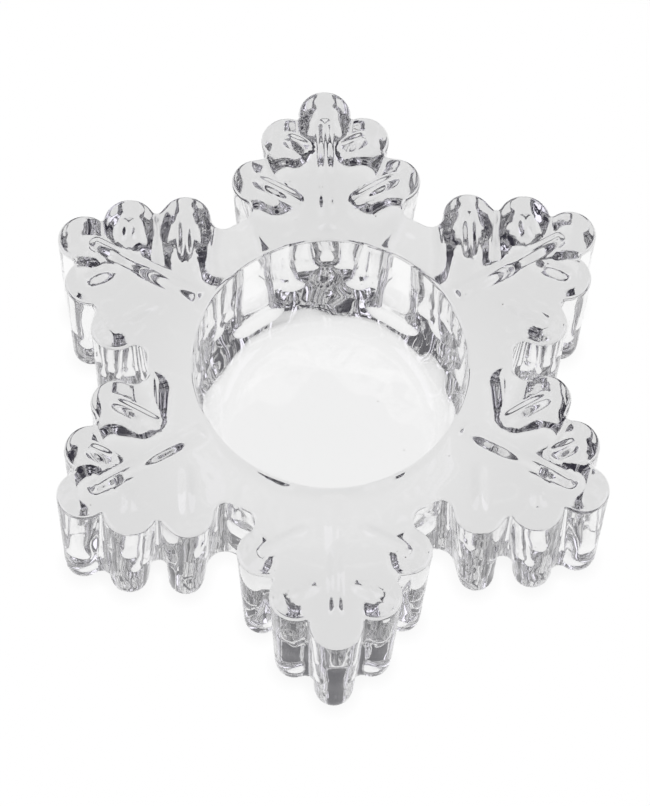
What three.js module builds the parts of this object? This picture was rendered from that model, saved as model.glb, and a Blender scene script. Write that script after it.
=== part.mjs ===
// Pressed-glass candle holder in the shape of a six-armed snowflake: one solid block of glass with fluted sides, low
// raised veins on its flat top and a round, bowl-like well for a tealight. Millimetres, +Z up. The block stands on
// z = 0, its middle is on the Z axis, and one arm points along +Y.
import * as THREE from 'three';

// Block, up to its flat top face
const ARM_COUNT = 6;
const HEIGHT = 30;
const TOP_EDGE_ROUND = 0.75;
const BASE_EDGE_ROUND = 1.8;

// The five lobes of an arm, at the top face. "Along" runs out from the axis along the arm, "across" is square to it.
const TIP_ALONG = 51.8;
const TIP_TO_MIDDLE_ALONG = 5.6;
const TIP_TO_MIDDLE_ACROSS = 7.05;
const MIDDLE_TO_INNER_ALONG = 8.6;
const MIDDLE_TO_INNER_ACROSS = 5.85;
const OUTER_LOBE_RADIUS = 4.9;
const INNER_LOBE_RADIUS = 4.65;

// Draft of the lobes: from the top down to the base their radius shrinks and their centres move out
const LOBE_TAPER = 1.4;
const LOBE_SPREAD = 0.8;

// Notch between the tip and a middle lobe: the round at its bottom
const TIP_NOTCH_ROUND_TOP = 0.5;
const TIP_NOTCH_ROUND_BASE = 1.75;

// Notch between a middle and an inner lobe: how far its bottom lies outside the line through their centres
const SIDE_NOTCH_TOP = 1.7;
const SIDE_NOTCH_BASE = -3.4;
const SIDE_NOTCH_LEAST_ROUND = 0.5;

// Valley between two arms: how far its flat bottom lies from the axis, half its width and the round in its corners
const VALLEY_TOP = 33.4;
const VALLEY_BASE = 31;
const VALLEY_HALF_WIDTH_TOP = 3.8;
const VALLEY_HALF_WIDTH_BASE = 6.25;
const VALLEY_CORNER_TOP = 2.3;
const VALLEY_CORNER_BASE = 3.5;

// Rounds at the foot of the lobes, notches and valleys, wider than the edge of the base
const LOBE_FOOT = 2.6;
const TIP_NOTCH_FLARE = 2.6;
const SIDE_NOTCH_FLARE = 3;
const VALLEY_FLARE = 2.6;

// Candle well: its wall drops straight from the rim, curves in with the cube of the depth and leans most at its foot
const RIM_RADIUS = 25;
const RIM_ROUND = 0.8;
const WELL_FOOT_LEAN = THREE.MathUtils.degToRad(24);
const WELL_FLOOR_ROUND = 4;
const FLOOR_THICKNESS = 4;

// Raised veins on the top face: a main vein on the middle line of each arm and a leaf through the centre of each
// side lobe. Each is a low roof with a hip at both ends.
const VEIN_HEIGHT = 0.95;
const MAIN_VEIN_WIDTH = 4.4;
const MAIN_VEIN_HIP = 2;
const MAIN_VEIN_FROM_RIM = 0.7;
const MAIN_VEIN_PAST_TIP_CENTRE = 3.2;
const LEAF_WIDTH = 3.5;
const LEAF_HIP_SHARE = 0.3;
const LEAF_ANGLE = THREE.MathUtils.degToRad(60);
const MIDDLE_LEAF_INWARD = 4.7;
const MIDDLE_LEAF_OUTWARD = 3.2;
const INNER_LEAF_INWARD = 9.5;
const INNER_LEAF_OUTWARD = 1;

// Facets
const LOBE_STEPS = 7;
const NOTCH_STEPS = 4;
const VALLEY_CORNER_STEPS = 3;
const WALL_STEPS = 4;
const TOP_EDGE_STEPS = 2;
const BASE_EDGE_STEPS = 3;
const WELL_SIDES = 64;
const RIM_STEPS = 2;
const WELL_WALL_STEPS = 6;
const FLOOR_ROUND_STEPS = 4;

const { lerp } = THREE.MathUtils;
const HALF_ARM_ANGLE = Math.PI / ARM_COUNT;
const FIRST_ARM_ANGLE = Math.PI / 2;
const WALL_TOP = HEIGHT - TOP_EDGE_ROUND;
const FLARE_TOP = Math.max(BASE_EDGE_ROUND, LOBE_FOOT, TIP_NOTCH_FLARE, SIDE_NOTCH_FLARE, VALLEY_FLARE);
const MIDDLE_ALONG = TIP_ALONG - TIP_TO_MIDDLE_ALONG;
const INNER_ALONG = MIDDLE_ALONG - MIDDLE_TO_INNER_ALONG;
const INNER_ACROSS = TIP_TO_MIDDLE_ACROSS + MIDDLE_TO_INNER_ACROSS;
const origin = new THREE.Vector2();

const polar = (radius, angle) => new THREE.Vector2(radius * Math.cos(angle), radius * Math.sin(angle));
const mirrored = ({ x, y }) => new THREE.Vector2(x, -y);
const acrossArm = (circle) => ({ ...circle, centre: mirrored(circle.centre) });
const lobe = (along, across, radius) => ({ centre: new THREE.Vector2(along, across), radius, bulges: true });
const hollow = (centre, radius, steps) => ({ centre, radius, bulges: false, steps });

// Turns of the arms round the axis, counter-clockwise from the first
const armTurns = Array.from({ length: ARM_COUNT }, (_, arm) => FIRST_ARM_ANGLE + 2 * HALF_ARM_ANGLE * arm);

// How far a quarter round at the base stands back from the wall at a height
const standBack = (round, z) => round - Math.sqrt(round ** 2 - Math.max(round - z, 0) ** 2);

// How much further than the edge of the base a wider round at a foot stands back at a height
const flare = (round, z) => Math.max(standBack(round, z) - standBack(BASE_EDGE_ROUND, z), 0);

// Round between two lobes whose bottom lies `out` outside the line through their centres and that touches both
function notch(first, second, out) {
  const radius = Math.max(first.radius, second.radius);
  const halfGap = first.centre.distanceTo(second.centre) / 2;
  const round = (halfGap ** 2 + out ** 2 - radius ** 2) / (2 * (radius - out));
  const middle = first.centre.clone().add(second.centre).divideScalar(2);
  const outward = second.centre.clone().sub(first.centre).normalize().rotateAround(origin, -Math.PI / 2);
  return hollow(middle.addScaledVector(outward, out + round), round, NOTCH_STEPS);
}

// Where the bottom of a notch lies when its round, of a given radius, rests on both lobes grown by `more`
function notchBottom(first, second, round, more = 0) {
  const reach = Math.max(first.radius, second.radius) + more + round;
  const halfGap = first.centre.distanceTo(second.centre) / 2;
  return Math.sqrt(Math.max(reach ** 2 - halfGap ** 2, 0)) - round;
}

// The two corner rounds of the flat-bottomed valley between neighbouring arms
function valleyCorners(bottom, halfWidth, round) {
  const halfFlat = Math.max(halfWidth - round, 0);
  return [-halfFlat, halfFlat].map((across) => {
    const centre = new THREE.Vector2(bottom + round, across).rotateAround(origin, HALF_ARM_ANGLE);
    return hollow(centre, round, VALLEY_CORNER_STEPS);
  });
}

// Circles that the outline follows at one height, counter-clockwise round the block. The outline bulges round the
// lobes and bends the other way round the notches and the corners of the valleys.
function outlineCircles(z) {
  const rise = z / HEIGHT;
  const foot = flare(LOBE_FOOT, z);
  const shrink = LOBE_TAPER * (1 - rise) + foot;
  const spread = LOBE_SPREAD * (1 - rise);
  const tip = lobe(TIP_ALONG + spread, 0, OUTER_LOBE_RADIUS - shrink);
  const middle = lobe(MIDDLE_ALONG + spread, TIP_TO_MIDDLE_ACROSS, OUTER_LOBE_RADIUS - shrink);
  const inner = lobe(INNER_ALONG + spread, INNER_ACROSS, INNER_LOBE_RADIUS - shrink);

  const tipNotchRound = lerp(TIP_NOTCH_ROUND_BASE, TIP_NOTCH_ROUND_TOP, rise);
  const tipNotchOut = notchBottom(tip, middle, tipNotchRound, foot) - flare(TIP_NOTCH_FLARE, z);
  const tipNotch = notch(tip, middle, tipNotchOut);
  const sideNotchOut = lerp(SIDE_NOTCH_BASE, SIDE_NOTCH_TOP, rise) - flare(SIDE_NOTCH_FLARE, z);
  const sideNotchLeast = notchBottom(middle, inner, SIDE_NOTCH_LEAST_ROUND);
  const sideNotch = notch(middle, inner, Math.max(sideNotchOut, sideNotchLeast));
  const valleyBottom = lerp(VALLEY_BASE, VALLEY_TOP, rise) - flare(VALLEY_FLARE, z);
  const valleyHalfWidth = lerp(VALLEY_HALF_WIDTH_BASE, VALLEY_HALF_WIDTH_TOP, rise);
  const corners = valleyCorners(valleyBottom, valleyHalfWidth, lerp(VALLEY_CORNER_BASE, VALLEY_CORNER_TOP, rise));

  const side = [tipNotch, middle, sideNotch, inner];
  const arm = [...side.map(acrossArm).reverse(), tip, ...side, ...corners];
  return armTurns.flatMap((turn) => arm.map((circle) => {
    return { ...circle, centre: circle.centre.clone().rotateAround(origin, turn) };
  }));
}

// Direction in which the outline faces where it leaves one circle for the next
function joinAngle(from, to) {
  const step = to.centre.clone().sub(from.centre);
  const heading = Math.atan2(step.y, step.x);
  if (from.bulges === to.bulges) {
    return heading - Math.PI / 2;
  }
  const lean = Math.acos(Math.min((from.radius + to.radius) / step.length(), 1));
  return from.bulges ? heading - lean : heading - Math.PI + lean;
}

// Points of the outline at one height, moved in by `inset`. Points lie inside their arcs, never on a join.
function outline(z, inset) {
  const circles = outlineCircles(z);
  const fullTurn = 2 * Math.PI;
  const points = [];
  circles.forEach((circle, index) => {
    const before = circles[(index + circles.length - 1) % circles.length];
    const after = circles[(index + 1) % circles.length];
    const start = joinAngle(before, circle);
    const sense = circle.bulges ? 1 : -1;
    const sweep = sense * THREE.MathUtils.euclideanModulo(sense * (joinAngle(circle, after) - start), fullTurn);
    const steps = circle.bulges ? LOBE_STEPS : circle.steps;
    const radius = circle.bulges ? circle.radius - inset : -(circle.radius + inset);
    for (let step = 0; step < steps; step += 1) {
      const facing = start + sweep * (step + 0.5) / steps;
      points.push(polar(radius, facing).add(circle.centre));
    }
  });
  return points;
}

// Heights of the outlines from the base to the top, each with its inset: a rounded edge, the wall, a rounded edge
function outlineLevels() {
  const levels = [];
  for (let step = 0; step <= BASE_EDGE_STEPS; step += 1) {
    const angle = (Math.PI / 2) * (step / BASE_EDGE_STEPS);
    levels.push({ z: BASE_EDGE_ROUND * (1 - Math.cos(angle)), inset: BASE_EDGE_ROUND * (1 - Math.sin(angle)) });
  }
  for (let step = 0; step < WALL_STEPS; step += 1) {
    levels.push({ z: lerp(FLARE_TOP, WALL_TOP, step / WALL_STEPS), inset: 0 });
  }
  for (let step = 0; step <= TOP_EDGE_STEPS; step += 1) {
    const angle = (Math.PI / 2) * (step / TOP_EDGE_STEPS);
    levels.push({ z: WALL_TOP + TOP_EDGE_ROUND * Math.sin(angle), inset: TOP_EDGE_ROUND * (1 - Math.cos(angle)) });
  }
  return levels;
}

// Radius and height of the well's wall from its rim on the top face down to the edge of its flat floor
function wellProfile() {
  const profile = [];
  const rimCentre = new THREE.Vector2(RIM_RADIUS + RIM_ROUND, HEIGHT - RIM_ROUND);
  for (let step = 0; step <= RIM_STEPS; step += 1) {
    profile.push(polar(RIM_ROUND, (Math.PI / 2) * (1 + step / RIM_STEPS)).add(rimCentre));
  }
  const wallDepth = rimCentre.y - FLOOR_THICKNESS - WELL_FLOOR_ROUND * (1 - Math.sin(WELL_FOOT_LEAN));
  const footInward = Math.tan(WELL_FOOT_LEAN) * wallDepth / 3;
  for (let step = 1; step <= WELL_WALL_STEPS; step += 1) {
    const share = step / WELL_WALL_STEPS;
    profile.push(new THREE.Vector2(RIM_RADIUS - footInward * share ** 3, rimCentre.y - wallDepth * share));
  }
  const floorCentre = profile.at(-1).clone().sub(polar(WELL_FLOOR_ROUND, -WELL_FOOT_LEAN));
  for (let step = 1; step <= FLOOR_ROUND_STEPS; step += 1) {
    const angle = lerp(-WELL_FOOT_LEAN, -Math.PI / 2, step / FLOOR_ROUND_STEPS);
    profile.push(polar(WELL_FLOOR_ROUND, angle).add(floorCentre));
  }
  return profile;
}

// A vein seen from above: its foot, counter-clockwise from the inner end, and the two ends of its crest
function vein(from, to, width, hip) {
  const onward = to.clone().sub(from).normalize();
  const left = onward.clone().rotateAround(origin, Math.PI / 2).multiplyScalar(width / 2);
  const crest = [from.clone().addScaledVector(onward, hip), to.clone().addScaledVector(onward, -hip)];
  const rightSide = crest.map((end) => end.clone().sub(left));
  const leftSide = crest.map((end) => end.clone().add(left));
  return { foot: [from, ...rightSide, to, ...leftSide.reverse()], crest };
}

// The leaf that runs slanting out through a side lobe's centre, on the left or the right (-1) of its arm
function leaf(lobeAlong, lobeAcross, inward, outward, side) {
  const centre = new THREE.Vector2(lobeAlong, lobeAcross * side);
  const onward = polar(1, LEAF_ANGLE * side);
  const from = centre.clone().addScaledVector(onward, -inward);
  const to = centre.clone().addScaledVector(onward, outward);
  return vein(from, to, LEAF_WIDTH, LEAF_HIP_SHARE * (inward + outward));
}

// The veins of all arms
function veins() {
  const from = new THREE.Vector2(RIM_RADIUS + RIM_ROUND + MAIN_VEIN_FROM_RIM, 0);
  const to = new THREE.Vector2(TIP_ALONG + MAIN_VEIN_PAST_TIP_CENTRE, 0);
  const ofOneArm = [vein(from, to, MAIN_VEIN_WIDTH, MAIN_VEIN_HIP)];
  for (const side of [1, -1]) {
    ofOneArm.push(leaf(MIDDLE_ALONG, TIP_TO_MIDDLE_ACROSS, MIDDLE_LEAF_INWARD, MIDDLE_LEAF_OUTWARD, side));
    ofOneArm.push(leaf(INNER_ALONG, INNER_ACROSS, INNER_LEAF_INWARD, INNER_LEAF_OUTWARD, side));
  }
  return armTurns.flatMap((turn) => ofOneArm.map(({ foot, crest }) => {
    const turned = (point) => point.clone().rotateAround(origin, turn);
    return { foot: foot.map(turned), crest: crest.map(turned) };
  }));
}

// Closed skin built from rings of points, the strips between them, flat caps and roofs
class Skin {
  constructor() {
    this.positions = [];
    this.triangles = [];
  }

  addRing(points, z) {
    const start = this.positions.length / 3;
    points.forEach((point) => this.positions.push(point.x, point.y, z));
    return { start, points };
  }

  // Strip from one ring to the next with the same number of points, facing right of the way from `lower` to `upper`
  bridge(lower, upper) {
    const count = lower.points.length;
    for (let index = 0; index < count; index += 1) {
      const next = (index + 1) % count;
      this.triangles.push(lower.start + index, lower.start + next, upper.start + next);
      this.triangles.push(lower.start + index, upper.start + next, upper.start + index);
    }
  }

  // Flat cap over a ring, with or without openings, facing up or down
  cap(ring, facesUp, openings = []) {
    const rings = [ring, ...openings];
    const corners = rings.flatMap(({ points }) => points);
    const places = rings.flatMap(({ start, points }) => points.map((_, index) => start + index));
    for (const [a, b, c] of THREE.ShapeUtils.triangulateShape(ring.points, openings.map(({ points }) => points))) {
      const turnsLeft = THREE.ShapeUtils.area([corners[a], corners[b], corners[c]]) > 0;
      const order = turnsLeft === facesUp ? [a, b, c] : [a, c, b];
      this.triangles.push(...order.map((corner) => places[corner]));
    }
  }

  // Hipped roof over the six corners of a vein's foot
  roof({ start: foot }, { start: crest }) {
    const [inner, rightInner, rightOuter, outer, leftOuter, leftInner] = [0, 1, 2, 3, 4, 5].map((i) => foot + i);
    const [crestInner, crestOuter] = [crest, crest + 1];
    this.triangles.push(inner, rightInner, crestInner, inner, crestInner, leftInner);
    this.triangles.push(rightInner, rightOuter, crestOuter, rightInner, crestOuter, crestInner);
    this.triangles.push(outer, leftOuter, crestOuter, outer, crestOuter, rightOuter);
    this.triangles.push(leftOuter, leftInner, crestInner, leftOuter, crestInner, crestOuter);
  }

  geometry() {
    const geometry = new THREE.BufferGeometry();
    geometry.setAttribute('position', new THREE.Float32BufferAttribute(this.positions, 3));
    geometry.setIndex(this.triangles);
    geometry.computeVertexNormals();
    return geometry;
  }
}

function circlePoints(radius) {
  const sides = Array.from({ length: WELL_SIDES }, (_, side) => side);
  return sides.map((side) => polar(radius, (2 * Math.PI * side) / WELL_SIDES));
}

function glassBodyGeometry() {
  const skin = new Skin();
  const wall = outlineLevels().map(({ z, inset }) => skin.addRing(outline(z, inset), z));
  const well = wellProfile().map(({ x: radius, y: z }) => skin.addRing(circlePoints(radius), z));
  for (const rings of [wall, well]) {
    rings.slice(1).forEach((ring, index) => skin.bridge(rings[index], ring));
  }
  const veinFeet = veins().map(({ foot, crest }) => {
    const footRing = skin.addRing(foot, HEIGHT);
    skin.roof(footRing, skin.addRing(crest, HEIGHT + VEIN_HEIGHT));
    return footRing;
  });
  skin.cap(wall.at(0), false);
  skin.cap(wall.at(-1), true, [well.at(0), ...veinFeet]);
  skin.cap(well.at(-1), true);
  return skin.geometry();
}

const clearGlass = new THREE.MeshStandardMaterial({
  color: 0xe9ecee,
  roughness: 0.03,
  metalness: 0,
  transparent: true,
  opacity: 0.35,
});

const candleHolder = new THREE.Group();
const glassBody = new THREE.Mesh(glassBodyGeometry(), clearGlass);
glassBody.name = 'glass_body';
candleHolder.add(glassBody);

export default candleHolder;
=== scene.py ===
"""Looks of a pressed-glass candle holder shaped like a snowflake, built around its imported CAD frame.

The glass block is drawn in millimetres in the frame of the CAD part: it stands on z = 0 with its middle on
the Z axis and one arm along +Y. A place in plan is a complex number, and on an arm its real part runs out
along the arm. The studio around the block is laid out in metres.
"""

from __future__ import annotations

import cmath
import logging
import math
from dataclasses import dataclass, field
from enum import Enum
from typing import Any

import bpy
import numpy as np
from mathutils import Matrix, Vector
from mathutils.geometry import delaunay_2d_cdt

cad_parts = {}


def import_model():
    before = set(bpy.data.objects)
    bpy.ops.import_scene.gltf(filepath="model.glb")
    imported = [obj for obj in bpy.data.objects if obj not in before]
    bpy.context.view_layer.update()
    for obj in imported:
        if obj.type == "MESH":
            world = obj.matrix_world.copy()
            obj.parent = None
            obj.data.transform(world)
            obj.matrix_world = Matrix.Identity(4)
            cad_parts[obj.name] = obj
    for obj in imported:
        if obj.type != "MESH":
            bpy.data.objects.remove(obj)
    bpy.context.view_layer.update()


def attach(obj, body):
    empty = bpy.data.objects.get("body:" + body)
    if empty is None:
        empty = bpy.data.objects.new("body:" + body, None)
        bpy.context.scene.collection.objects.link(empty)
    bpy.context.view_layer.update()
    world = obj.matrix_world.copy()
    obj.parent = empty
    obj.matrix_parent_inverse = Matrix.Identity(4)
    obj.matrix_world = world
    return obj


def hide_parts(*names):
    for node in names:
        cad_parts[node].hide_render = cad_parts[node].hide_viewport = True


log = logging.getLogger("candle_holder")

MM = 0.001
FULL_TURN = 2 * math.pi
QUARTER_TURN = math.pi / 2
TRIANGLE_HEIGHT = math.sqrt(0.75)

# What a triangulation keeps, and the distance at which it takes two points for one
TRIANGLES_OF_HULL = 0
TRIANGLES_INSIDE = 1
SAME_POINT = 1e-9

# Sockets of a Mix node for colours
MIX_FIRST = 6
MIX_SECOND = 7
MIX_RESULT = 2


def linear(colour: str) -> tuple[float, float, float, float]:
    """Turns an sRGB hex colour into Blender's linear colour.

    Args:
        colour: six hex digits after a hash sign.

    Returns:
        Linear red, green and blue, and full cover.
    """
    shares = [int(colour[i : i + 2], 16) / 255 for i in (1, 3, 5)]
    red, green, blue = [s / 12.92 if s <= 0.04045 else ((s + 0.055) / 1.055) ** 2.4 for s in shares]
    return red, green, blue, 1.0


def add_node(
    tree: bpy.types.NodeTree, kind: str, inputs: dict[str | int, Any], **settings: Any
) -> bpy.types.Node:
    """Adds a node to a tree with its settings and links.

    Args:
        tree: tree that the node joins.
        kind: Blender's name of the node's type.
        inputs: value of each input, or the output socket that it is linked to.
        settings: properties of the node itself.

    Returns:
        The new node.
    """
    node = tree.nodes.new(kind)
    for name, value in settings.items():
        setattr(node, name, value)
    for name, value in inputs.items():
        if isinstance(value, bpy.types.NodeSocket):
            tree.links.new(value, node.inputs[name])
        else:
            node.inputs[name].default_value = value
    return node


def empty_tree(owner: bpy.types.Material | bpy.types.World) -> bpy.types.NodeTree:
    """Switches nodes on for a material or world and clears its tree.

    Args:
        owner: material or world that the tree belongs to.

    Returns:
        The tree, with nothing in it.
    """
    owner.use_nodes = True
    owner.node_tree.nodes.clear()
    return owner.node_tree


def ease(share: np.ndarray) -> np.ndarray:
    """Runs smoothly from 0 to 1 while the share does."""
    share = np.clip(share, 0.0, 1.0)
    return share * share * (3.0 - 2.0 * share)


@dataclass(frozen=True)
class Drafted:
    """A size that changes evenly from the base up to the top face."""

    base: float
    top: float

    def at(self, rise: float) -> float:
        """Size at a share of the height."""
        return self.base + (self.top - self.base) * rise


@dataclass(frozen=True)
class Bend:
    """One circle that the outline follows: round a lobe, or the other way round a notch."""

    centre: complex
    radius: float
    bulges: bool
    steps: int

    def turned(self, angle: float) -> Bend:
        """The bend turned about the axis."""
        return Bend(self.centre * cmath.rect(1, angle), self.radius, self.bulges, self.steps)

    def mirrored(self) -> Bend:
        """The bend on the other side of its arm."""
        return Bend(self.centre.conjugate(), self.radius, self.bulges, self.steps)

    def facing_at_join(self, following: Bend) -> float:
        """Direction in which the outline faces where it leaves this bend for the following one.

        Args:
            following: bend that comes next, counter-clockwise.

        Returns:
            Angle in plan, counter-clockwise from the X axis.
        """
        step = following.centre - self.centre
        if self.bulges == following.bulges:
            return cmath.phase(step) - QUARTER_TURN
        lean = math.acos(min((self.radius + following.radius) / abs(step), 1.0))
        return cmath.phase(step) + (-lean if self.bulges else lean - math.pi)


@dataclass
class FlakeOutline:
    """Outline of the block, with five lobes on each of its six arms, at any height."""

    arm_count: int = 6
    height: float = 30.0
    top_edge: float = 0.75
    base_edge: float = 1.8

    tip_along: Drafted = Drafted(52.6, 51.8)
    middle_along: Drafted = Drafted(47.0, 46.2)
    inner_along: Drafted = Drafted(38.4, 37.6)
    middle_across: float = 7.05
    inner_across: float = 12.9
    outer_lobe: Drafted = Drafted(3.5, 4.9)
    inner_lobe: Drafted = Drafted(3.25, 4.65)

    tip_notch: Drafted = Drafted(1.75, 0.5)
    side_notch_out: Drafted = Drafted(-3.4, 1.7)
    valley_bottom: Drafted = Drafted(31.0, 33.4)
    valley_half_width: Drafted = Drafted(6.25, 3.8)
    valley_corner: Drafted = Drafted(3.5, 2.3)
    lobe_foot: float = 2.6
    tip_notch_flare: float = 2.6
    side_notch_flare: float = 3.0
    valley_flare: float = 2.6

    lobe_steps: int = 21
    notch_steps: int = 11
    corner_steps: int = 9
    wall_steps: int = 24
    edge_steps: int = 6

    def arm_turns(self) -> list[float]:
        """Angles of the arms, counter-clockwise from the one along +Y."""
        return [QUARTER_TURN + FULL_TURN * arm / self.arm_count for arm in range(self.arm_count)]

    def flare(self, rounding: float, z: float) -> float:
        """How much further than the edge of the base a wider round at a foot stands back at a height."""
        back, edge = [r - math.sqrt(r * r - max(r - z, 0.0) ** 2) for r in (rounding, self.base_edge)]
        return max(back - edge, 0.0)

    def notch(self, first: Bend, second: Bend, out: float) -> Bend:
        """Bend that touches two lobes, with its bottom outside the line through their centres.

        Args:
            first: lobe that the outline comes from.
            second: lobe that the outline goes on to.
            out: distance of the notch's bottom from that line.

        Returns:
            The notch between them.
        """
        radius = max(first.radius, second.radius)
        gap = second.centre - first.centre
        rounding = (abs(gap) ** 2 / 4 + out**2 - radius**2) / (2 * (radius - out))
        outward = -1j * gap / abs(gap)
        centre = (first.centre + second.centre) / 2 + outward * (out + rounding)
        return Bend(centre, rounding, False, self.notch_steps)

    def valley(self, bottom: float, half_width: float, corner: float) -> list[Bend]:
        """Two corner bends of the flat-bottomed valley between two arms.

        Args:
            bottom: distance of the valley's flat bottom from the axis.
            half_width: half the valley's width at its corners.
            corner: radius of the corners.

        Returns:
            The corner beside this arm and the one beside the next.
        """
        half_flat = half_width - corner
        corners = [complex(bottom + corner, -half_flat), complex(bottom + corner, half_flat)]
        return [Bend(c, corner, False, self.corner_steps).turned(math.pi / self.arm_count) for c in corners]

    def bends(self, z: float) -> list[Bend]:
        """All bends of the outline at a height.

        Args:
            z: height above the base.

        Returns:
            The bends, counter-clockwise.
        """
        rise = z / self.height
        outer = self.outer_lobe.at(rise)
        foot = self.flare(self.lobe_foot, z)
        tip = Bend(complex(self.tip_along.at(rise)), outer - foot, True, self.lobe_steps)
        middle_centre = complex(self.middle_along.at(rise), self.middle_across)
        middle = Bend(middle_centre, outer - foot, True, self.lobe_steps)
        inner_centre = complex(self.inner_along.at(rise), self.inner_across)
        inner = Bend(inner_centre, self.inner_lobe.at(rise) - foot, True, self.lobe_steps)

        rounding = self.tip_notch.at(rise)
        half_gap = abs(middle.centre - tip.centre) / 2
        tip_notch_out = math.sqrt((outer + rounding) ** 2 - half_gap**2) - rounding
        side_notch_out = self.side_notch_out.at(rise) - self.flare(self.side_notch_flare, z)
        valley_bottom = self.valley_bottom.at(rise) - self.flare(self.valley_flare, z)
        side = [
            self.notch(tip, middle, tip_notch_out - self.flare(self.tip_notch_flare, z)),
            middle,
            self.notch(middle, inner, side_notch_out),
            inner,
        ]
        corners = self.valley(valley_bottom, self.valley_half_width.at(rise), self.valley_corner.at(rise))
        arm = [bend.mirrored() for bend in reversed(side)] + [tip] + side + corners
        return [bend.turned(turn) for turn in self.arm_turns() for bend in arm]

    def ring(self, z: float, inset: float) -> np.ndarray:
        """Points of the outline at a height.

        Args:
            z: height of the ring.
            inset: how far the ring lies inside the wall, on a rounded edge.

        Returns:
            Places in plan, counter-clockwise.
        """
        bends = self.bends(z)
        points = []
        for before, bend, after in zip([bends[-1], *bends], bends, [*bends[1:], bends[0]]):
            sense = 1 if bend.bulges else -1
            start = before.facing_at_join(bend)
            sweep = sense * ((sense * (bend.facing_at_join(after) - start)) % FULL_TURN)
            facing = start + sweep * (np.arange(bend.steps) + 0.5) / bend.steps
            reach = bend.radius - inset if bend.bulges else -(bend.radius + inset)
            points.append(bend.centre + reach * np.exp(1j * facing))
        return np.concatenate(points)

    def levels(self) -> list[tuple[float, float]]:
        """Where the rings of the wall lie, from the base up to the top face.

        Returns:
            Height and inset of each ring.
        """
        turns = [QUARTER_TURN * step / self.edge_steps for step in range(self.edge_steps + 1)]
        low, high = self.base_edge, self.top_edge
        base = [(low * (1 - math.cos(a)), low * (1 - math.sin(a))) for a in turns]
        top = [(self.height - high * (1 - math.sin(a)), high * (1 - math.cos(a))) for a in turns]
        wall = np.linspace(base[-1][0], top[0][0], self.wall_steps + 1)[1:-1]
        return base + [(float(z), 0.0) for z in wall] + top


@dataclass
class CandleWell:
    """Round well with a soft rim, whose wall drops straight and then curves in towards a flat floor."""

    rim_radius: float = 25.0
    rim_round: float = 0.8
    foot_lean: float = math.radians(24)
    curve_power: int = 3
    floor_round: float = 4.0
    floor: float = 4.0
    sides: int = 192
    round_steps: int = 8
    wall_steps: int = 28

    def profile(self, top: float) -> np.ndarray:
        """Radius and height along the wall, from the top face down to the flat floor.

        Args:
            top: height of the top face.

        Returns:
            One row of radius and height for each ring.
        """
        shares = np.linspace(0, 1, self.round_steps + 1)
        rim_z = top - self.rim_round
        rim_centre = complex(self.rim_radius + self.rim_round, rim_z)
        rim_turn = QUARTER_TURN * (1 + shares)
        rim = rim_centre + self.rim_round * np.exp(1j * rim_turn)
        depth = rim_z - self.floor - self.floor_round * (1 - math.sin(self.foot_lean))
        share = np.linspace(0, 1, self.wall_steps + 1)
        inward = math.tan(self.foot_lean) * depth / self.curve_power * share**self.curve_power
        wall = self.rim_radius - inward + 1j * (rim_z - depth * share)
        floor_turn = -self.foot_lean - (QUARTER_TURN - self.foot_lean) * shares
        centre = wall[-1] - self.floor_round * cmath.rect(1, -self.foot_lean)
        floor = centre + self.floor_round * np.exp(1j * floor_turn)
        line = np.concatenate([rim, wall[1:], floor[1:]])
        return np.column_stack([line.real, line.imag])

    def circle(self, radius: float) -> np.ndarray:
        """Places in plan round the well."""
        return radius * np.exp(1j * FULL_TURN * np.arange(self.sides) / self.sides)


class VeinForm(Enum):
    """How a vein rises and falls along its length."""

    RIB = "level between two short ends"
    LEAF = "swelling to its middle"


@dataclass(frozen=True)
class Vein:
    """One low raised vein on an arm, with a rounded cross-section that may narrow towards its end."""

    start: complex
    end: complex
    width: float
    height: float
    form: VeinForm
    start_fade: float = 1.5
    end_fade: float = 2.0
    leaf_fullness: float = 0.7
    taper: float = 0.0

    def rise(self, places: np.ndarray) -> np.ndarray:
        """Height of the vein above the flat top.

        Args:
            places: places on the arm.

        Returns:
            The vein's height at each.
        """
        length = abs(self.end - self.start)
        on_vein = (places - self.start) * length / (self.end - self.start)
        along, across = on_vein.real, np.abs(on_vein.imag)
        share = np.clip(along / length, 0.0, 1.0)
        width = self.width * (1 - self.taper * share)
        section = np.cos(math.pi * np.clip(across / width, 0.0, 0.5)) ** 2
        if self.form is VeinForm.RIB:
            run = ease(along / self.start_fade) * ease((length - along) / self.end_fade)
        else:
            run = np.sin(math.pi * share) ** self.leaf_fullness
        return self.height * section * run


@dataclass
class TopVeins:
    """Veins of the top face: a rib along each arm and a leaf towards each side lobe."""

    outline: FlakeOutline
    rib: Vein = Vein(26.5 + 0j, 51.0 + 0j, 4.9, 1.0, VeinForm.RIB, taper=0.3)
    middle_leaf: Vein = Vein(44.1 + 3.1j, 46.8 + 7.7j, 4.0, 1.1, VeinForm.LEAF)
    inner_leaf: Vein = Vein(33.0 + 4.6j, 38.3 + 13.7j, 3.6, 0.95, VeinForm.LEAF)

    def rise(self, places: np.ndarray) -> np.ndarray:
        """Height of the top face above its flat part.

        Args:
            places: places in plan.

        Returns:
            Height at each.
        """
        views = np.array([places * cmath.rect(1, -turn) for turn in self.outline.arm_turns()])
        nearest = views.real.argmax(axis=0)
        on_arm = np.take_along_axis(views, nearest[None], axis=0)[0]
        folded = on_arm.real + 1j * np.abs(on_arm.imag)
        return sum(vein.rise(folded) for vein in (self.rib, self.middle_leaf, self.inner_leaf))


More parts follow.
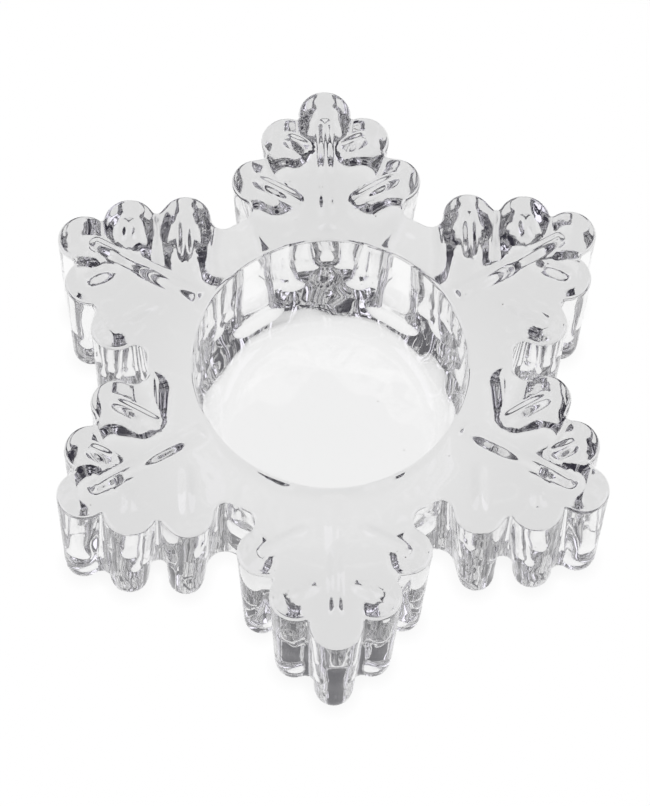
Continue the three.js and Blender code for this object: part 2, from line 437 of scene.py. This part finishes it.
@dataclass(frozen=True)
class PressedSodaLimeGlass:
    """Clear soda-lime glass, pressed in a mould and fire-polished.

    The eye gets sharp refraction with bright and dark bands at each flute, a neutral body that greys a little
    with thickness, and a skin that is smooth but not quite flat.
    """

    name: str = "pressed soda-lime glass, fire-polished"
    tint: str = "#ffffff"
    ior: float = 1.52
    roughness: float = 0.0
    absorption_colour: str = "#000000"
    absorption_per_metre: float = 4.0
    wave_length: float = 8.0
    wave_height: float = 0.5
    speck_colour: str = "#57524f"
    speck_spacing: float = 5.0
    speck_radius: float = 0.13

    def material(self) -> bpy.types.Material:
        """Builds the material.

        Returns:
            The glass, with its skin and its body.
        """
        material = bpy.data.materials.new(self.name)
        tree = empty_tree(material)
        place = add_node(tree, "ShaderNodeTexCoord", {}).outputs["Object"]
        # Chill waves from the mould, drawn as deep as they need to be to bend what is seen through the flutes
        wave_run = {"Vector": place, "Scale": 1 / (self.wave_length * MM), "Detail": 0.0}
        waves = add_node(tree, "ShaderNodeTexNoise", wave_run)
        wave_rise = {"Height": waves.outputs["Fac"], "Distance": self.wave_height * MM, "Strength": 1.0}
        skin = add_node(tree, "ShaderNodeBump", wave_rise)
        # A few dark specks of mould scale in the skin
        speck_run = {"Vector": place, "Scale": 1 / (self.speck_spacing * MM)}
        cells = add_node(tree, "ShaderNodeTexVoronoi", speck_run)
        nearness = {0: cells.outputs["Distance"], 1: self.speck_radius / self.speck_spacing}
        in_speck = add_node(tree, "ShaderNodeMath", nearness, operation="LESS_THAN")
        colours = {
            "Factor": in_speck.outputs[0],
            MIX_FIRST: linear(self.tint),
            MIX_SECOND: linear(self.speck_colour),
        }
        speckled = add_node(tree, "ShaderNodeMix", colours, data_type="RGBA")
        surface = {
            "Base Color": speckled.outputs[MIX_RESULT],
            "Roughness": self.roughness,
            "IOR": self.ior,
            "Transmission Weight": 1.0,
            "Normal": skin.outputs["Normal"],
        }
        glass = add_node(tree, "ShaderNodeBsdfPrincipled", surface)
        depth = {"Color": linear(self.absorption_colour), "Density": self.absorption_per_metre}
        body = add_node(tree, "ShaderNodeVolumeAbsorption", depth)
        skin_and_body = {"Surface": glass.outputs["BSDF"], "Volume": body.outputs["Volume"]}
        add_node(tree, "ShaderNodeOutputMaterial", skin_and_body)
        return material


@dataclass
class GlassBody:
    """The whole holder: one block of glass with fluted sides, a candle well and raised veins."""

    outline: FlakeOutline = field(default_factory=FlakeOutline)
    well: CandleWell = field(default_factory=CandleWell)
    finish: PressedSodaLimeGlass = PressedSodaLimeGlass()
    vein_grid: float = 0.3
    flat_grid: int = 6
    least_rise: float = 1e-4
    clear_share: float = 0.6
    flat_face_weight: int = 100

    def __post_init__(self) -> None:
        """Lays out the veins and starts with no points or faces."""
        self.veins = TopVeins(self.outline)
        self.points: list[tuple[float, float, float]] = []
        self.faces: list[tuple[int, ...]] = []

    def add_points(self, places: np.ndarray, heights: np.ndarray | float) -> np.ndarray:
        """Adds points of the skin.

        Args:
            places: places in plan.
            heights: height of each, or one height for all.

        Returns:
            Numbers of the new points.
        """
        first = len(self.points)
        rows = np.column_stack([places.real, places.imag, np.broadcast_to(heights, places.shape)]) * MM
        self.points.extend(map(tuple, rows.tolist()))
        return np.arange(first, len(self.points))

    def add_strips(self, rings: list[np.ndarray]) -> None:
        """Joins each ring to the next with four-sided faces.

        Args:
            rings: numbers of the points of each ring.
        """
        for lower, upper in zip(rings, rings[1:]):
            rows = np.column_stack([lower, np.roll(lower, -1), np.roll(upper, -1), upper])
            self.faces.extend(map(tuple, rows.tolist()))

    def grid_places(self, edge: np.ndarray, rim: float) -> np.ndarray:
        """Places of the top face between the rim and the outline, close together on the veins.

        Args:
            edge: outline of the flat top.
            rim: radius at which the flat top ends at the well.

        Returns:
            Places in plan.
        """
        reach = np.abs(edge).max()
        columns = np.arange(-reach, reach, self.vein_grid)
        rows = np.arange(-reach, reach, self.vein_grid * TRIANGLE_HEIGHT)
        across, along = np.meshgrid(np.arange(len(columns)), np.arange(len(rows)))
        places = columns[across] + self.vein_grid / 2 * (along % 2) + 1j * rows[along]
        wanted = (across % self.flat_grid == 0) & (along % self.flat_grid == 0)
        wanted |= self.veins.rise(places) > self.least_rise
        places = places[wanted]
        clear = self.vein_grid * self.clear_share
        places = places[np.abs(places) > rim + clear]
        nearest = np.abs(places[:, None] - edge[None, :]).min(axis=1)
        return places[(nearest > clear) & self.inside(places, edge)]

    @staticmethod
    def inside(places: np.ndarray, edge: np.ndarray) -> np.ndarray:
        """Tells which places lie inside a closed outline.

        Args:
            places: places in plan.
            edge: corners of the outline.

        Returns:
            True for each place inside.
        """
        start, end = edge[None, :], np.roll(edge, -1)[None, :]
        spot = places[:, None]
        spans = (start.imag > spot.imag) != (end.imag > spot.imag)
        slope = (end.real - start.real) / np.where(end.imag == start.imag, 1.0, end.imag - start.imag)
        crossed = spans & (spot.real < start.real + slope * (spot.imag - start.imag))
        return crossed.sum(axis=1) % 2 == 1

    def add_base(self, ring: np.ndarray, places: np.ndarray) -> None:
        """Closes the base with a flat face that looks down.

        Args:
            ring: numbers of the points round the base.
            places: their places in plan.
        """
        flat = [Vector((p.real, p.imag)) for p in places]
        loop = list(range(len(flat)))
        _, _, triangles, *_ = delaunay_2d_cdt(flat, [], [loop], TRIANGLES_INSIDE, SAME_POINT)
        self.faces.extend(tuple(int(ring[corner]) for corner in reversed(triangle)) for triangle in triangles)

    def add_top(self, ring: np.ndarray, edge: np.ndarray, mouth: np.ndarray, rim: np.ndarray) -> None:
        """Adds the top face with its veins between the outline and the mouth of the well.

        Args:
            ring: numbers of the points round the outline.
            edge: their places in plan.
            mouth: numbers of the points round the mouth of the well.
            rim: their places in plan.
        """
        within = self.grid_places(edge, abs(rim[0]))
        inner = self.add_points(within, self.outline.height + self.veins.rise(within))
        places = np.concatenate([edge, rim, within])
        numbers = np.concatenate([ring, mouth, inner])
        loops = [(0, len(ring)), (len(ring), len(mouth))]
        edges = [(first + i, first + (i + 1) % count) for first, count in loops for i in range(count)]
        flat = [Vector((p.real, p.imag)) for p in places]
        _, _, filled, *_ = delaunay_2d_cdt(flat, edges, [], TRIANGLES_OF_HULL, SAME_POINT)
        triangles = np.array(filled)
        in_mouth = ((triangles >= len(ring)) & (triangles < len(ring) + len(mouth))).all(axis=1)
        wanted = self.inside(places[triangles].mean(axis=1), edge) & ~in_mouth
        self.faces.extend(map(tuple, numbers[triangles[wanted]].tolist()))

    def build(self) -> bpy.types.Object:
        """Builds the glass block.

        Returns:
            The piece, in place in the frame and not yet dressed.
        """
        levels = self.outline.levels()
        walls = [self.outline.ring(z, inset) for z, inset in levels]
        wall_rings = [self.add_points(places, z) for places, (z, _) in zip(walls, levels)]
        profile = self.well.profile(self.outline.height)
        circles = [self.well.circle(radius) for radius, _ in profile]
        well_rings = [self.add_points(places, z) for places, (_, z) in zip(circles, profile)]
        self.add_strips(wall_rings)
        self.add_strips(well_rings)
        self.faces.append(tuple(well_rings[-1].tolist()))
        self.add_base(wall_rings[0], walls[0])
        self.add_top(wall_rings[-1], walls[-1], well_rings[0], circles[0])

        mesh = bpy.data.meshes.new("glass_block")
        mesh.from_pydata(self.points, [], self.faces)
        mesh.polygons.foreach_set("use_smooth", [True] * len(mesh.polygons))
        mesh.update()
        block = bpy.data.objects.new("glass_block", mesh)
        bpy.context.scene.collection.objects.link(block)
        flat_faces_stay_flat = block.modifiers.new("flat faces stay flat", "WEIGHTED_NORMAL")
        flat_faces_stay_flat.mode = "FACE_AREA"
        flat_faces_stay_flat.weight = self.flat_face_weight
        return block

    def dress(self, block: bpy.types.Object) -> None:
        """Gives the block its glass and ties it to the frame.

        Args:
            block: the glass block.
        """
        block.data.materials.append(self.finish.material())
        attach(block, "root")
        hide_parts("glass_body")


@dataclass(frozen=True)
class MattWhiteCard:
    """Matt white card that the block stands on.

    It stays white in the picture, in gloss and through the glass, but for a painted shadow under the block:
    its glow is dimmed where the block covers it, and dimmed less under the well, where there is less glass
    above.
    """

    name: str = "matt white card"
    white: str = "#ffffff"
    shade_under_block: float = 0.115
    shade_under_well: float = 0.04
    well_edge: tuple[float, float] = (18.0, 42.0)
    shade_reach: float = 3.0

    def material(self) -> bpy.types.Material:
        """Builds the material.

        Returns:
            The card, with the painted shadow on it.
        """
        material = bpy.data.materials.new(self.name)
        tree = empty_tree(material)
        # Painted shadow: the glow is dimmed where the block lies just above the card, more away from the
        # well's axis
        place = add_node(tree, "ShaderNodeNewGeometry", {})
        from_axis = add_node(tree, "ShaderNodeVectorMath", {0: place.outputs["Position"]}, operation="LENGTH")
        by_distance = {
            "Value": from_axis.outputs["Value"],
            "From Min": self.well_edge[0] * MM,
            "From Max": self.well_edge[1] * MM,
            "To Min": self.shade_under_well,
            "To Max": self.shade_under_block,
        }
        depth = add_node(tree, "ShaderNodeMapRange", by_distance, interpolation_type="SMOOTHSTEP")
        open_sky = add_node(tree, "ShaderNodeAmbientOcclusion", {"Distance": self.shade_reach * MM})
        covered = add_node(tree, "ShaderNodeMath", {0: 1.0, 1: open_sky.outputs["AO"]}, operation="SUBTRACT")
        both = {0: covered.outputs[0], 1: depth.outputs[0]}
        shade = add_node(tree, "ShaderNodeMath", both, operation="MULTIPLY")
        left = add_node(tree, "ShaderNodeMath", {0: 1.0, 1: shade.outputs[0]}, operation="SUBTRACT")
        card = add_node(tree, "ShaderNodeBsdfDiffuse", {"Color": linear(self.white)})
        glow = {"Color": linear(self.white), "Strength": left.outputs[0]}
        # The white glow carries the painted shadow in its strength
        white = add_node(tree, "ShaderNodeEmission", glow)
        path = add_node(tree, "ShaderNodeLightPath", {})
        seen = path.outputs["Is Camera Ray"]
        for ray in ("Is Glossy Ray", "Is Transmission Ray"):
            either = add_node(tree, "ShaderNodeMath", {0: seen, 1: path.outputs[ray]}, operation="MAXIMUM")
            seen = either.outputs[0]
        shown = add_node(tree, "ShaderNodeMixShader", {0: seen, 1: card.outputs[0], 2: white.outputs[0]})
        add_node(tree, "ShaderNodeOutputMaterial", {"Surface": shown.outputs[0]})
        return material


@dataclass
class Studio:
    """White table in a dim grey room with a soft box on each side, in metres."""

    card: MattWhiteCard = MattWhiteCard()
    table_size: float = 40.0
    table_gap: float = 0.4 * MM
    room_grey: str = "#37353f"
    box_white: str = "#f6f3ff"
    box_size: float = 0.8
    box_distance: float = 1.1
    box_elevation: float = math.radians(38)
    box_watts: float = 2.7
    box_turns: tuple[float, ...] = (0.0, math.pi)
    light_bounces: int = 32

    def add_table(self) -> bpy.types.Object:
        """Adds the table just under the block, which touches it only on a few high spots.

        Returns:
            The table.
        """
        half = self.table_size / 2
        corners = [(-half, -half, 0), (half, -half, 0), (half, half, 0), (-half, half, 0)]
        mesh = bpy.data.meshes.new("white_table")
        mesh.from_pydata(corners, [], [(0, 1, 2, 3)])
        mesh.materials.append(self.card.material())
        table = bpy.data.objects.new("white_table", mesh)
        table.location.z = -self.table_gap
        bpy.context.scene.collection.objects.link(table)
        return table

    def add_room(self) -> None:
        """Adds the dim room around the table, and suits the way light is followed to clear glass.

        Light bounces inside the glass until it finds its way out. The denoiser looks at the picture alone,
        because the colour and slope of the skin say nothing of what is seen through it.
        """
        world = bpy.data.worlds.new("dim room")
        tree = empty_tree(world)
        grey = add_node(tree, "ShaderNodeBackground", {"Color": linear(self.room_grey), "Strength": 1.0})
        add_node(tree, "ShaderNodeOutputWorld", {"Surface": grey.outputs[0]})
        bpy.context.scene.world = world
        cycles = bpy.context.scene.cycles
        cycles.max_bounces = cycles.glossy_bounces = cycles.transmission_bounces = self.light_bounces
        cycles.denoising_input_passes = "RGB"

    def add_soft_boxes(self) -> None:
        """Adds the soft boxes, which face the block."""
        for turn in self.box_turns:
            lamp = bpy.data.lights.new("soft box", "AREA")
            lamp.shape = "SQUARE"
            lamp.size = self.box_size
            lamp.energy = self.box_watts
            lamp.color = linear(self.box_white)[:3]
            box = bpy.data.objects.new("soft box", lamp)
            across = self.box_distance * math.cos(self.box_elevation)
            up = self.box_distance * math.sin(self.box_elevation)
            box.location = (across * math.cos(turn), across * math.sin(turn), up)
            box.rotation_euler = (-box.location).to_track_quat("-Z", "Y").to_euler()
            bpy.context.scene.collection.objects.link(box)


@dataclass
class PhotoCamera:
    """Camera at the photograph's viewing angle, found from the outlines of the lobes and the rim.

    Its angles are in radians and its distances in millimetres.
    """

    elevation: float = 1.12123
    roll: float = 0.040708
    turn: float = -0.0571247
    distance: float = 829.543
    aside: float = -0.477
    above: float = 4.974
    raised: float = 1.2
    focal_pixels: float = 4412.916
    image_height: int = 806
    sensor: float = 36.0

    def add(self) -> bpy.types.Object:
        """Adds the camera and makes it the scene's own.

        Returns:
            The camera.
        """
        back = Vector((0.0, -math.cos(self.elevation), math.sin(self.elevation)))
        level = Vector((1.0, 0.0, 0.0))
        upright = back.cross(level)
        right = math.cos(self.roll) * level + math.sin(self.roll) * upright
        up = -math.sin(self.roll) * level + math.cos(self.roll) * upright
        place = back * self.distance + right * self.aside + up * self.above + Vector((0, 0, self.raised))
        pose = Matrix((right, up, back)).transposed().to_4x4()
        pose.translation = place * MM
        lens = bpy.data.cameras.new("photo camera")
        lens.sensor_width = self.sensor
        lens.lens = self.focal_pixels / self.image_height * self.sensor
        camera = bpy.data.objects.new("photo camera", lens)
        bpy.context.scene.collection.objects.link(camera)
        camera.matrix_world = Matrix.Rotation(self.turn, 4, "Z") @ pose
        bpy.context.scene.camera = camera
        return camera


def main() -> None:
    """Builds the holder and its studio around the CAD frame."""
    logging.basicConfig(level=logging.INFO, format="%(name)s: %(message)s")
    bpy.ops.wm.read_factory_settings(use_empty=True)
    bpy.context.scene.view_settings.view_transform = "Standard"
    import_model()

    body = GlassBody()
    block = body.build()
    body.dress(block)
    log.info("%s: %d faces", block.name, len(block.data.polygons))

    studio = Studio()
    table = studio.add_table()
    studio.add_room()
    studio.add_soft_boxes()
    camera = PhotoCamera().add()
    log.info("studio: %s, %s", table.name, camera.name)


if __name__ == "__main__":
    main()
